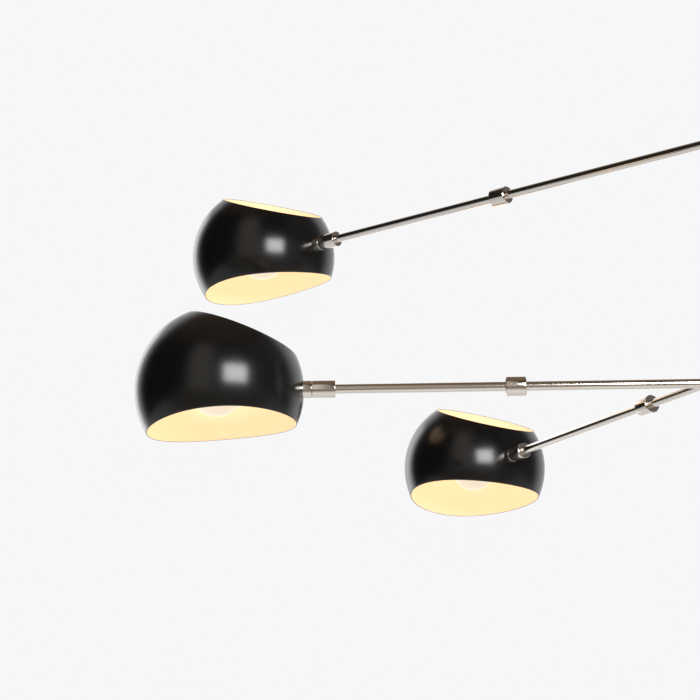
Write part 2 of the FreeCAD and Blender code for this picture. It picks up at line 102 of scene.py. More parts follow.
@dataclass(frozen=True)
class PhotoCamera:
    """The photograph's viewpoint, worked out from the three shades' silhouettes."""

    location: Place = (-0.4434, -2.3541, 0.9759)
    pitch_degrees: float = 14.68
    focal_pixels: float = 2456.0
    frame_pixels: float = 700.0
    sensor_mm: float = 36.0
    clip_end: float = 60.0

    def build(self) -> None:
        """Create the camera and make it the scene's camera."""
        data = bpy.data.cameras.new("photo_camera")
        data.sensor_fit = "HORIZONTAL"
        data.sensor_width = self.sensor_mm
        data.lens = self.sensor_mm * self.focal_pixels / self.frame_pixels
        data.clip_end = self.clip_end
        camera = bpy.data.objects.new("photo_camera", data)
        camera.location = self.location
        camera.rotation_euler = (math.radians(90.0 + self.pitch_degrees), 0.0, 0.0)
        bpy.context.scene.collection.objects.link(camera)
        bpy.context.scene.camera = camera


# ---------------------------------------------------------------- shader node groups
class NodeSheet:
    """Short-hand for adding and linking nodes in one node tree."""

    mix_factor, mix_first, mix_second, mix_result = 0, 6, 7, 2  # the Mix node's sockets for colours

    def __init__(self, tree: bpy.types.NodeTree) -> None:
        """Hold the tree that the nodes go into."""
        self.tree = tree

    def add(self, kind: str, **settings: object) -> bpy.types.Node:
        """Add a node.

        Args:
            kind: The node's type name.
            settings: Attributes to set, such as operation.

        Returns:
            The new node.
        """
        node = self.tree.nodes.new(kind)
        for name, value in settings.items():
            setattr(node, name, value)
        return node

    def link(self, source: bpy.types.NodeSocket, target: bpy.types.NodeSocket) -> None:
        """Join an output socket to an input socket."""
        self.tree.links.new(source, target)

    def give(self, socket: bpy.types.NodeSocket, value: object) -> None:
        """Link a socket to an input, or set the input to a number.

        Args:
            socket: The input.
            value: A socket or a number.
        """
        if isinstance(value, bpy.types.NodeSocket):
            self.link(value, socket)
        else:
            socket.default_value = value

    def maths(self, operation: str, first: object, second: object = 0.0) -> bpy.types.NodeSocket:
        """Add a Math node.

        Args:
            operation: The node's operation.
            first: A socket or a number.
            second: A socket or a number.

        Returns:
            The node's output socket.
        """
        node = self.add("ShaderNodeMath", operation=operation)
        for socket, value in zip(node.inputs, (first, second)):
            self.give(socket, value)
        return node.outputs[0]

    def noise(self, vector: bpy.types.NodeSocket, scale: object, detail: float) -> bpy.types.NodeSocket:
        """Add a noise texture.

        Args:
            vector: Where it is read.
            scale: A socket or a number.
            detail: The texture's detail.

        Returns:
            The node's factor socket.
        """
        node = self.add("ShaderNodeTexNoise")
        node.inputs["Detail"].default_value = detail
        self.link(vector, node.inputs["Vector"])
        self.give(node.inputs["Scale"], scale)
        return node.outputs["Fac"]

    def mix(self, factor: object, first: object, second: object) -> bpy.types.NodeSocket:
        """Blend two colours.

        Args:
            factor: A socket or a number: 0 gives the first colour, 1 the second.
            first: A socket or a colour.
            second: A socket or a colour.

        Returns:
            The node's result socket.
        """
        node = self.add("ShaderNodeMix", data_type="RGBA")
        for index, value in (
            (self.mix_factor, factor), (self.mix_first, first), (self.mix_second, second),
        ):
            if isinstance(value, bpy.types.NodeSocket):
                self.link(value, node.inputs[index])
            elif index == self.mix_factor:
                node.inputs[index].default_value = value
            else:
                node.inputs[index].default_value = (*value, 1.0)
        return node.outputs[self.mix_result]

    def remap(self, value: bpy.types.NodeSocket, low: float, high: float,
              out_low: float, out_high: float) -> bpy.types.NodeSocket:
        """Map a range of values to another range, clamped.

        Args:
            value: The value's socket.
            low: Start of its range.
            high: End of its range.
            out_low: What the start becomes.
            out_high: What the end becomes.

        Returns:
            The node's result socket.
        """
        node = self.add("ShaderNodeMapRange")
        self.link(value, node.inputs["Value"])
        for name, limit in (
            ("From Min", low), ("From Max", high), ("To Min", out_low), ("To Max", out_high),
        ):
            node.inputs[name].default_value = limit
        return node.outputs["Result"]


class EffectGroup:
    """A named node group with typed sockets, built once and placed in many materials."""

    built: Dict[str, bpy.types.NodeTree] = {}

    @classmethod
    def get(cls, name: str, inputs: Sequence[Tuple[str, str, object]],
            outputs: Sequence[Tuple[str, str]], fill: Callable) -> bpy.types.NodeTree:
        """Return the group, building it the first time.

        Args:
            name: The group's name.
            inputs: Name, socket type and default of each input.
            outputs: Name and socket type of each output.
            fill: Function that adds the nodes, given the sheet, the input and the output node.

        Returns:
            The node tree.
        """
        if name in cls.built:
            return cls.built[name]
        tree = bpy.data.node_groups.new(name, "ShaderNodeTree")
        for socket_name, kind, default in inputs:
            socket = tree.interface.new_socket(name=socket_name, in_out="INPUT", socket_type=kind)
            socket.default_value = default
        for socket_name, kind in outputs:
            tree.interface.new_socket(name=socket_name, in_out="OUTPUT", socket_type=kind)
        sheet = NodeSheet(tree)
        fill(sheet, sheet.add("NodeGroupInput"), sheet.add("NodeGroupOutput"))
        cls.built[name] = tree
        return tree


FLOAT = "NodeSocketFloat"
COLOUR = "NodeSocketColor"


def surface_variation_group() -> bpy.types.NodeTree:
    """Cloudy change of colour and roughness, with fine specks of dust, in object space.

    Returns:
        The node group.
    """
    cloud_detail, speck_detail = 4.0, 1.0
    speck_starts, speck_full = 0.70, 0.78
    speck_roughness = 0.3

    def fill(sheet: NodeSheet, given: bpy.types.Node, result: bpy.types.Node) -> None:
        """Add the group's nodes.

        Args:
            sheet: The group's node sheet.
            given: The group's input node.
            result: The group's output node.
        """
        place = sheet.add("ShaderNodeTexCoord").outputs["Object"]
        clouds = sheet.noise(place, given.outputs["Cloud Scale"], cloud_detail)
        fine = sheet.noise(place, given.outputs["Speck Scale"], speck_detail)
        covered = sheet.remap(fine, speck_starts, speck_full, 0.0, 1.0)
        specks = sheet.maths("MULTIPLY", covered, given.outputs["Dust"])
        centred = sheet.maths("SUBTRACT", clouds, MIDDLE)
        shift = sheet.maths("MULTIPLY", centred, given.outputs["Tone Change"])
        toned = sheet.mix(
            sheet.maths("ADD", shift, MIDDLE), given.outputs["Dark"], given.outputs["Light"]
        )
        dusted = sheet.mix(specks, toned, given.outputs["Dust Colour"])
        sheet.link(dusted, result.inputs["Colour"])
        rough_shift = sheet.maths("MULTIPLY", centred, given.outputs["Roughness Change"])
        rough = sheet.maths("ADD", given.outputs["Roughness"], rough_shift)
        dusty = sheet.maths("MULTIPLY", specks, speck_roughness)
        sheet.link(sheet.maths("ADD", rough, dusty), result.inputs["Roughness"])

    return EffectGroup.get(
        "surface_variation",
        [
            ("Dark", COLOUR, (0.0, 0.0, 0.0, 1.0)),
            ("Light", COLOUR, (1.0, 1.0, 1.0, 1.0)),
            ("Dust Colour", COLOUR, (0.4, 0.38, 0.35, 1.0)),
            ("Dust", FLOAT, 0.1),
            ("Cloud Scale", FLOAT, 30.0),
            ("Speck Scale", FLOAT, 900.0),
            ("Tone Change", FLOAT, 1.0),
            ("Roughness", FLOAT, 0.3),
            ("Roughness Change", FLOAT, 0.1),
        ],
        [("Colour", COLOUR), ("Roughness", FLOAT)],
        fill,
    )


def orange_peel_group() -> bpy.types.NodeTree:
    """Height of the slight ripple of sprayed and baked enamel.

    Returns:
        The node group.
    """
    ripple_detail, grain_detail = 1.0, 2.0

    def fill(sheet: NodeSheet, given: bpy.types.Node, result: bpy.types.Node) -> None:
        """Add the group's nodes.

        Args:
            sheet: The group's node sheet.
            given: The group's input node.
            result: The group's output node.
        """
        place = sheet.add("ShaderNodeTexCoord").outputs["Object"]
        ripple = sheet.noise(place, given.outputs["Ripple Scale"], ripple_detail)
        grain = sheet.noise(place, given.outputs["Grain Scale"], grain_detail)
        weighted = sheet.maths("MULTIPLY", grain, given.outputs["Grain"])
        sheet.link(sheet.maths("ADD", ripple, weighted), result.inputs["Height"])

    return EffectGroup.get(
        "orange_peel",
        [("Ripple Scale", FLOAT, 350.0), ("Grain Scale", FLOAT, 2500.0), ("Grain", FLOAT, 0.3)],
        [("Height", FLOAT)],
        fill,
    )


def turning_marks_group() -> bpy.types.NodeTree:
    """Fine rings left by turning and polishing, across the UV map's V direction.

    Returns:
        The node group.
    """
    rings_across = (40.0, 9000.0, 1.0)
    ring_scale, ring_detail = 1.0, 3.0

    def fill(sheet: NodeSheet, given: bpy.types.Node, result: bpy.types.Node) -> None:
        """Add the group's nodes.

        Args:
            sheet: The group's node sheet.
            given: The group's input node.
            result: The group's output node.
        """
        uv = sheet.add("ShaderNodeTexCoord").outputs["UV"]
        stretch = sheet.add("ShaderNodeMapping")
        stretch.inputs["Scale"].default_value = rings_across
        sheet.link(uv, stretch.inputs["Vector"])
        rings = sheet.noise(stretch.outputs["Vector"], ring_scale, ring_detail)
        sheet.link(rings, result.inputs["Height"])
        centred = sheet.maths("SUBTRACT", rings, MIDDLE)
        shift = sheet.maths("MULTIPLY", centred, given.outputs["Amount"])
        rough = sheet.maths("ADD", given.outputs["Roughness"], shift)
        sheet.link(rough, result.inputs["Roughness"])

    return EffectGroup.get(
        "turning_marks",
        [("Roughness", FLOAT, 0.1), ("Amount", FLOAT, 0.06)],
        [("Height", FLOAT), ("Roughness", FLOAT)],
        fill,
    )


# ---------------------------------------------------------------- finishes
class Material:
    """A material with its Principled shader and a sheet to add nodes with."""

    def __init__(self, name: str) -> None:
        """Create the material and find its shader.

        Args:
            name: The material's name.
        """
        self.data = bpy.data.materials.new(name)
        self.data.use_nodes = True
        self.sheet = NodeSheet(self.data.node_tree)
        self.shader = self.data.node_tree.nodes["Principled BSDF"]

    def set(self, **values: object) -> None:
        """Set constants on the shader's own sockets.

        Args:
            values: Numbers or colours by the socket's name, with underscores for spaces.
        """
        for name, value in values.items():
            self.shader.inputs[name.replace("_", " ")].default_value = value

    def group(self, tree: bpy.types.NodeTree, **values: object) -> bpy.types.Node:
        """Place a node group and set its inputs.

        Args:
            tree: The group.
            values: Numbers or colours by the input's name, with underscores for spaces.

        Returns:
            The group's node.
        """
        node = self.sheet.add("ShaderNodeGroup", node_tree=tree)
        for name, value in values.items():
            socket = node.inputs[name.replace("_", " ")]
            socket.default_value = (*value, 1.0) if isinstance(value, tuple) else value
        return node

    def feed(self, source: bpy.types.NodeSocket, name: str) -> None:
        """Link a socket to one of the shader's inputs."""
        self.sheet.link(source, self.shader.inputs[name])

    def cover(self, **values: object) -> bpy.types.Node:
        """Give the shader the cloudy colour and roughness.

        Args:
            values: Numbers or colours by the input's name, with underscores for spaces.

        Returns:
            The group's node.
        """
        node = self.group(surface_variation_group(), **values)
        self.feed(node.outputs["Colour"], "Base Color")
        self.feed(node.outputs["Roughness"], "Roughness")
        return node

    def bump(self, height: bpy.types.NodeSocket, strength: float, distance: float) -> None:
        """Feed a height to the shader's normal through a Bump node.

        Args:
            height: The height's socket.
            strength: Share of the bump that shows.
            distance: Metres that a height of 1 stands for.
        """
        node = self.sheet.add("ShaderNodeBump")
        node.inputs["Strength"].default_value = strength
        node.inputs["Distance"].default_value = distance
        self.sheet.link(height, node.inputs["Height"])
        self.sheet.link(node.outputs["Normal"], self.shader.inputs["Normal"])


@dataclass(frozen=True)
class Surface:
    """What the finishes share: two tones, roughness and its cloudy change, and dust."""

    name: str
    dark: Colour
    light: Colour
    roughness: float
    roughness_change: float
    cloud_scale: float
    dust: float

    def covered(self) -> Material:
        """Start a material with the surface's colour and roughness.

        Returns:
            The new material, to add the rest to.
        """
        material = Material(self.name)
        material.cover(
            Dark=self.dark, Light=self.light, Dust=self.dust, Roughness=self.roughness,
            Roughness_Change=self.roughness_change, Cloud_Scale=self.cloud_scale,
        )
        return material


@dataclass(frozen=True)
class Enamel(Surface):
    """Sprayed and baked enamel with a slight ripple, which may carry a painted glow: emission that stands
    in for the light it holds.
    """

    roughness_change: float = 0.06
    cloud_scale: float = 24.0
    dust: float = 0.02
    ripple: float = 0.20
    ripple_depth: float = 0.04 * MM
    refraction: float = 1.52
    specular: float = 0.5
    # Painted glow: emission on a surface that is no lamp, standing in for light falling on it.
    glow: Colour = BLACK
    glow_strength: float = 0.0

    def build(self) -> bpy.types.Material:
        """Make the material.

        Returns:
            The new material.
        """
        material = self.covered()
        peel = material.group(orange_peel_group())
        material.bump(peel.outputs["Height"], self.ripple, self.ripple_depth)
        material.set(IOR=self.refraction, Specular_IOR_Level=self.specular)
        # A glow here is painted light: the enamel emits as if lit, though it is no lamp.
        if self.glow_strength > 0.0:
            material.set(Emission_Color=(*self.glow, 1.0), Emission_Strength=self.glow_strength)
        return material.data


@dataclass(frozen=True)
class PolishedMetal(Surface):
    """Turned and polished or plated metal."""

    roughness_change: float = 0.04
    cloud_scale: float = 60.0
    dust: float = 0.02
    marks: float = 0.15
    ring_strength: float = 0.08
    ring_depth: float = 0.02 * MM

    def build(self) -> bpy.types.Material:
        """Make the material.

        Returns:
            The new material.
        """
        material = self.covered()
        rings = material.group(turning_marks_group(), Roughness=self.roughness, Amount=self.marks)
        material.feed(rings.outputs["Roughness"], "Roughness")
        material.bump(rings.outputs["Height"], self.ring_strength, self.ring_depth)
        material.set(Metallic=1.0)
        return material.data


@dataclass(frozen=True)
class Moulded(Surface):
    """Moulded rubber, nylon or phenolic."""

    roughness_change: float = 0.12
    cloud_scale: float = 45.0
    dust: float = 0.12
    grain: float = 0.3
    grain_share: float = 0.8
    grain_scale: float = 4000.0
    grain_depth: float = 0.08 * MM
    ripple_scale: float = 900.0
    coat: float = 0.0
    coat_roughness: float = 0.1

    def build(self) -> bpy.types.Material:
        """Make the material.

        Returns:
            The new material.
        """
        material = self.covered()
        peel = material.group(
            orange_peel_group(), Ripple_Scale=self.ripple_scale, Grain_Scale=self.grain_scale,
            Grain=self.grain_share,
        )
        material.bump(peel.outputs["Height"], self.grain, self.grain_depth)
        material.set(Coat_Weight=self.coat, Coat_Roughness=self.coat_roughness)
        return material.data


@dataclass(frozen=True)
class LitGlass(Surface):
    """Bulb glass that glows."""

    roughness: float = 0.25
    roughness_change: float = 0.05
    cloud_scale: float = 30.0
    dust: float = 0.0
    glow: Colour = BLACK
    glow_strength: float = 0.0

    def build(self) -> bpy.types.Material:
        """Make the material.

        Returns:
            The new material.
        """
        material = self.covered()
        material.set(Emission_Color=(*self.glow, 1.0), Emission_Strength=self.glow_strength)
        return material.data


class Finishes:
    """Every material of the lamp, built once."""

    recipes = {
        Finish.ENAMEL: Enamel(
            "black_satin_enamel", dark=(0.0022, 0.0021, 0.0021), light=(0.0034, 0.0032, 0.0031),
            roughness=0.23,
        ),
        Finish.NICKEL: PolishedMetal(
            "polished_nickel", dark=(0.79, 0.73, 0.66), light=(0.85, 0.79, 0.72),
            roughness=0.12, marks=0.10,
        ),
        Finish.STEEL: PolishedMetal(
            "zinc_plated_steel", dark=(0.50, 0.50, 0.51), light=(0.60, 0.60, 0.60),
            roughness=0.34, marks=0.20,
        ),
        Finish.SPRING: PolishedMetal(
            "spring_wire", dark=(0.24, 0.24, 0.25), light=(0.34, 0.34, 0.34),
            roughness=0.40,
        ),
        Finish.BRASS: PolishedMetal(
            "plain_brass", dark=(0.74, 0.52, 0.24), light=(0.82, 0.60, 0.30),
            roughness=0.28,
        ),
        Finish.CAP: PolishedMetal(
            "bulb_cap_metal", dark=(0.62, 0.62, 0.62), light=(0.72, 0.72, 0.71),
            roughness=0.30,
        ),
        Finish.RUBBER: Moulded(
            "black_rubber", dark=(0.018, 0.018, 0.019), light=(0.032, 0.031, 0.030),
            roughness=0.72, grain=0.5,
        ),
        Finish.PHENOLIC: Moulded(
            "black_phenolic", dark=(0.010, 0.009, 0.008), light=(0.018, 0.016, 0.015),
            roughness=0.24, grain=0.10, coat=0.3,
        ),
        Finish.NYLON: Moulded(
            "black_nylon", dark=(0.016, 0.016, 0.016), light=(0.026, 0.026, 0.026),
            roughness=0.50,
        ),
        Finish.GLASS: LitGlass(
            "soft_white_glass", dark=(0.36, 0.34, 0.31), light=(0.36, 0.34, 0.31),
            glow=(1.0, 0.81, 0.57), glow_strength=0.68,
        ),
    }
    # The shade's cream inside with a painted glow: its emission stands in for the bulb's light on the
    # enamel.
    lining_with_painted_glow = Enamel(
        "cream_enamel_with_painted_glow", dark=(0.86, 0.74, 0.53), light=(0.90, 0.79, 0.59), roughness=0.42,
        glow=(1.0, 0.64, 0.35), glow_strength=0.43,
    )

    def __init__(self) -> None:
        """Build the materials."""
        self.built = {finish: recipe.build() for finish, recipe in self.recipes.items()}
        self.cream_with_painted_glow = self.lining_with_painted_glow.build()

    def of(self, finish: Finish) -> bpy.types.Material:
        """Return the material that shows a finish of the record."""
        return self.built[finish]


# ---------------------------------------------------------------- outlines and turned meshes
def bow(start: Vector, bend: Vector, end: Vector, share: float) -> Point:
    """Find a point on the curve from one point to another that is drawn to a third.

    Args:
        start: Where the curve starts.
        bend: The point that it is drawn to.
        end: Where it ends.
        share: Share of the way along it.

    Returns:
        The point.
    """
    rest = 1 - share
    point = start * rest ** 2 + bend * 2 * share * rest + end * share * share
    return point.x, point.y


def rounded(points: Sequence[Tuple[float, float, float]], steps: int = 4) -> List[Point]:
    """Replace each corner of an outline by an arc.

    Args:
        points: (along, radius, corner size) of each point; a corner size of 0 stays sharp.
        steps: Segments in each arc.

    Returns:
        The outline as (along, radius) points.
    """
    outline: List[Point] = []
    for index, (along, radius, size) in enumerate(points):
        if size <= 0.0 or index in (0, len(points) - 1):
            outline.append((along, radius))
            continue
        here = Vector((along, radius))
        before = Vector(points[index - 1][:2])
        after = Vector(points[index + 1][:2])
        start = here + (before - here).normalized() * size
        end = here + (after - here).normalized() * size
        outline += [bow(start, here, end, step / steps) for step in range(steps + 1)]
    return outline


def tube_outline(start: float, end: float, radius: float, bore: float, edge: float) -> List[Point]:
    """Closed outline of a tube with softened outer edges.

    A ring beside each edge keeps the edge's shading from tilting the long side's.

    Args:
        start: One end, along the axis.
        end: The other end.
        radius: Outer radius.
        bore: Inner radius.
        edge: Size of the softened edges.

    Returns:
        (along, radius) points.
    """
    beside = EDGE_SUPPORT * edge
    return rounded([
        (start, bore, 0.0), (start, radius, edge), (start + beside, radius, 0.0),
        (end - beside, radius, 0.0), (end, radius, edge), (end, bore, 0.0),
    ])


def turned_mesh(name: str, outline: Sequence[Point], segments: int = 96,
                closed: bool = False) -> bpy.types.Object:
    """Turn an outline about the X axis into a mesh with UVs that follow it.

    Args:
        name: The new object's name.
        outline: (along, radius) points; a radius of 0 closes an end to a point.
        segments: Faces round the axis.
        closed: Whether the last point joins the first, as on a tube with a bore.

    Returns:
        The object, smooth, with its sharp creases kept.
    """
    bm = bmesh.new()
    uv_layer = bm.loops.layers.uv.new("turned")
    rings = []
    for along, radius in outline:
        if radius < ON_AXIS:
            rings.append([bm.verts.new((along, 0.0, 0.0))])
            continue
        turns = [math.tau * step / segments for step in range(segments)]
        rings.append([
            bm.verts.new((along, radius * math.cos(turn), radius * math.sin(turn))) for turn in turns
        ])
    travelled = [0.0]
    for first, second in zip(outline, outline[1:]):
        travelled.append(travelled[-1] + math.dist(first, second))
    pairs = list(zip(range(len(rings) - 1), range(1, len(rings))))
    if closed:
        pairs.append((len(rings) - 1, 0))
        travelled.append(travelled[-1] + math.dist(outline[-1], outline[0]))
    for first, second in pairs:
        low, high = rings[first], rings[second]
        v_low, v_high = travelled[first], travelled[first + 1]
        if len(low) == 1 and len(high) == 1:
            continue
        for step in range(segments):
            after = (step + 1) % segments
            if len(low) == 1:
                corners = [
                    (low[0], step, v_low), (high[after], step + 1, v_high), (high[step], step, v_high),
                ]
            elif len(high) == 1:
                corners = [
                    (low[step], step, v_low), (low[after], step + 1, v_low), (high[0], step, v_high),
                ]
            else:
                corners = [
                    (low[step], step, v_low), (low[after], step + 1, v_low),
                    (high[after], step + 1, v_high), (high[step], step, v_high),
                ]
            face = bm.faces.new([vertex for vertex, _, _ in corners])
            for loop, (_, around, up) in zip(face.loops, corners):
                loop[uv_layer].uv = (around / segments, up)
    return finish_mesh(name, bm)


def finish_mesh(name: str, bm: bmesh.types.BMesh, crease_degrees: float = 35.0,
                materials: Sequence[bpy.types.Material] = ()) -> bpy.types.Object:
    """Make a linked object of a closed shape, shaded smooth.

    Args:
        name: The object's name.
        bm: The shape, which is freed.
        crease_degrees: Creases sharper than this stay sharp.
        materials: Materials by the index that the faces use.

    Returns:
        The object.
    """
    bmesh.ops.recalc_face_normals(bm, faces=bm.faces)
    mesh = bpy.data.meshes.new(name)
    bm.to_mesh(mesh)
    bm.free()
    for material in materials:
        mesh.materials.append(material)
    mesh.shade_smooth()
    mesh.set_sharp_from_angle(angle=math.radians(crease_degrees))
    piece = bpy.data.objects.new(name, mesh)
    bpy.context.scene.collection.objects.link(piece)
    return piece


# ---------------------------------------------------------------- placing
class Dresser:
    """Puts a finished mesh in its place on the lamp and records what it stands for."""

    def __init__(self, finishes: Finishes) -> None:
        """Hold the materials."""
        self.finishes = finishes
        self.made = 0

    def fit(self, piece: bpy.types.Object, place: Matrix, body: str, node: str, finish: Finish) -> None:
        """Place a piece, dress it, and say which body and node it belongs to.

        Args:
            piece: The object, in its own frame.
            place: Matrix from its own frame to the lamp's frame.
            body: The moving body it rides on.
            node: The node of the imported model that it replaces.
            finish: The record's slot, whose material it takes if it has none.
        """
        piece.data.transform(place)
        piece.data.update()
        if not piece.data.materials:
            piece.data.materials.append(self.finishes.of(finish))
        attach(piece, body)
        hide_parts(node)
        self.made += 1
        log.info("%s rides on %s", piece.name, body)


# ---------------------------------------------------------------- the shade
@dataclass
class BallShade:
    """Thin ball with a tilted round opening at the top and a saddle-shaped one at the bottom."""

    radius: float = 85 * MM
    wall: float = 1.2 * MM
    top_distance: float = 60.6 * MM
    top_tilt: float = math.radians(21.5)
    bottom_distance: float = 33.7 * MM
    bottom_tilt: float = math.radians(4.2)
    saddle_radius: float = 490 * MM
    around: int = 192
    rows: int = 48
    rim_steps: int = 6
    saddle_rounds: int = 12
    crease_degrees: float = 60.0

    def top_rim(self, angle: float) -> Vector:
        """Find a point of the top rim.

        Args:
            angle: Angle about the opening's own axis.

        Returns:
            Unit direction from the ball's centre.
        """
        height = self.top_distance / self.radius
        reach = math.sqrt(1 - height * height)
        point = Vector((reach * math.cos(angle), reach * math.sin(angle), height))
        return Matrix.Rotation(-self.top_tilt, 3, "Y") @ point

    def bottom_rim(self, angle: float) -> Vector:
        """Find a point of the bottom rim, where a wide cylinder cuts the ball.

        Args:
            angle: Angle about the opening's own axis.

        Returns:
            Unit direction from the ball's centre.
        """
        apex = -self.bottom_distance / self.radius
        saddle = self.saddle_radius / self.radius
        height = apex
        for _ in range(self.saddle_rounds):
            reach = math.sqrt(1 - height * height)
            across = reach * math.cos(angle)
            height = apex - saddle + math.sqrt(saddle * saddle - across * across)
        reach = math.sqrt(1 - height * height)
        point = Vector((reach * math.cos(angle), reach * math.sin(angle), height))
        return Matrix.Rotation(self.bottom_tilt, 3, "Y") @ point

    def section(self, angle: float) -> List[Tuple[Vector, bool]]:
        """Closed outline of the wall at one angle: outer face up, top rim, inner face, bottom rim.

        Args:
            angle: Angle about the upright axis.

        Returns:
            Points, each with whether it belongs to the inner face.
        """
        low, high = self.bottom_rim(angle), self.top_rim(angle)
        span = low.angle(high)
        normal = low.cross(high).normalized()
        lip = self.wall / 2
        inset = lip / self.radius
        middle = self.radius - lip

        def direction(turn: float) -> Vector:
            """Unit vector at an angle from the bottom rim towards the top rim."""
            return Matrix.Rotation(turn, 3, normal) @ low

        points = []
        turns = [inset + (span - 2 * inset) * row / self.rows for row in range(self.rows + 1)]
        points += [(direction(turn) * self.radius, False) for turn in turns]
        points += self.lip_points(direction(span - inset), normal, middle, lip, 1.0)
        points += [(direction(turn) * (self.radius - self.wall), True) for turn in reversed(turns)]
        points += self.lip_points(direction(inset), normal, middle, lip, -1.0)
        return points

    def lip_points(self, out: Vector, normal: Vector, middle: float, lip: float,
                   side: float) -> List[Tuple[Vector, bool]]:
        """Half-round lip at a rim.

        Args:
            out: Unit direction of the rim.
            normal: Unit normal of the section's plane.
            middle: Radius of the wall's middle.
            lip: Half the wall.
            side: 1 at the top, from the outer face to the inner, or -1 at the bottom, and back.

        Returns:
            Points, each with whether it belongs to the inner face.
        """
        onward = normal.cross(out).normalized() * side
        points = []
        for step in range(1, self.rim_steps):
            turn = math.pi * step / self.rim_steps
            if side < 0:
                turn = math.pi - turn
            inner = turn > math.pi / 2
            point = out * (middle + lip * math.cos(turn)) + onward * lip * math.sin(turn)
            points.append((point, inner))
        return points

    def build(self, name: str, outside: bpy.types.Material,
              inside: bpy.types.Material) -> bpy.types.Object:
        """Make the shade's mesh.

        Args:
            name: The object's name.
            outside: Material of the outer face.
            inside: Material of the inner face, whose glow is painted light standing in for the bulb's
                light on it.

        Returns:
            The object, about its own centre.
        """
        bm = bmesh.new()
        uv_layer = bm.loops.layers.uv.new("shade")
        columns = []
        inner_flags: List[bool] = []
        for step in range(self.around):
            outline = self.section(math.tau * step / self.around)
            inner_flags = [inner for _, inner in outline]
            columns.append([bm.verts.new(point) for point, _ in outline])
        count = len(inner_flags)
        for step in range(self.around):
            here = columns[step]
            beside = columns[(step + 1) % self.around]
            for row in range(count):
                above = (row + 1) % count
                face = bm.faces.new((here[row], beside[row], beside[above], here[above]))
                face.material_index = 1 if inner_flags[row] and inner_flags[above] else 0
                for loop, (across, up) in zip(face.loops, ((0, 0), (1, 0), (1, 1), (0, 1))):
                    loop[uv_layer].uv = ((step + across) / self.around, (row + up) / count)
        return finish_mesh(name, bm, self.crease_degrees, (outside, inside))


# ---------------------------------------------------------------- the turned pieces of an arm
@dataclass(frozen=True)
class Rods:
    """Two lengths of rod and the collar that joins them."""

    radius: float = 4.75 * MM
    bore: float = 3.75 * MM
    edge: float = 0.2 * MM
    segments: int = 64
    pole_gap: float = 16.0 * MM
    barrel_seat: float = 11.0 * MM
    half_gap: float = 0.3 * MM
    collar_radius: float = 9.9 * MM
    collar_length: float = 20.8 * MM
    collar_chamfer: float = 0.9 * MM
    collar_edge: float = 0.12 * MM

    def rod(self, start: float, end: float) -> List[Point]:
        """Outline of a rod between two places."""
        return tube_outline(start, end, self.radius, self.bore, self.edge)

    def collar(self, middle: float) -> List[Point]:
        """Outline of the collar.

        Args:
            middle: The collar's middle, along the arm.

        Returns:
            Closed outline of (along, radius) points.
        """
        bore = self.radius + CLOSE_FIT
        start, end = middle - self.collar_length / 2, middle + self.collar_length / 2
        chamfer, high, edge = self.collar_chamfer, self.collar_radius, self.collar_edge
        return rounded([
            (start, bore, 0.0), (start, high - chamfer, edge), (start + chamfer, high, edge),
            (end - chamfer, high, edge), (end, high - chamfer, edge), (end, bore, 0.0),
        ])


@dataclass(frozen=True)
class Swivel:
    """Barrel on the arm's end, and the ring beside the ball that turns with the shade."""

    radius: float = 8.9 * MM
    edge: float = 0.45 * MM
    barrel_end: float = 117.0 * MM
    ring_face: float = 93.3 * MM
    seam: float = 0.3 * MM
    stud_radius: float = 5.0 * MM
    mouth_edge: float = 0.1 * MM
    pocket: float = 12.0 * MM
    web: float = 3.0 * MM
    wire_hole: float = 3.25 * MM
    ring_play: float = 0.08 * MM
    seat_steps: int = 4

    def barrel(self, rod_radius: float) -> List[Point]:
        """Outline of the barrel: the rod's pocket, a web with the wires' hole, and the stud's bore.

        Args:
            rod_radius: Radius of the rod in the pocket.

        Returns:
            Closed outline of (along, radius) points.
        """
        face, nose = -self.barrel_end, -(self.ring_face + self.seam)
        pocket_end = face + self.pocket
        web_end = pocket_end + self.web
        mouth, bore = rod_radius + CLOSE_FIT, self.stud_radius + CLOSE_FIT
        return rounded([
            (pocket_end, mouth, 0.0), (face, mouth, self.mouth_edge),
            (face, self.radius, self.edge), (nose, self.radius, self.edge),
            (nose, bore, 0.0), (web_end, bore, 0.0),
            (web_end, self.wire_hole, 0.0), (pocket_end, self.wire_hole, 0.0),
        ])

    def ring(self, ball_radius: float) -> List[Point]:
        """Outline of the ring, whose far side is hollowed to sit on the ball.

        Args:
            ball_radius: The ball's outer radius.

        Returns:
            Closed outline of (along, radius) points.
        """
        bore = self.stud_radius + self.ring_play
        steps = self.seat_steps
        widths = [bore + (self.radius - bore) * step / steps for step in range(steps + 1)]
        seat = [(-math.sqrt(ball_radius ** 2 - width ** 2), width) for width in reversed(widths)]
        front = rounded([
            (-self.ring_face, bore, 0.0), (-self.ring_face, self.radius, self.edge), (*seat[0], 0.0),
        ])
        return front + seat[1:]


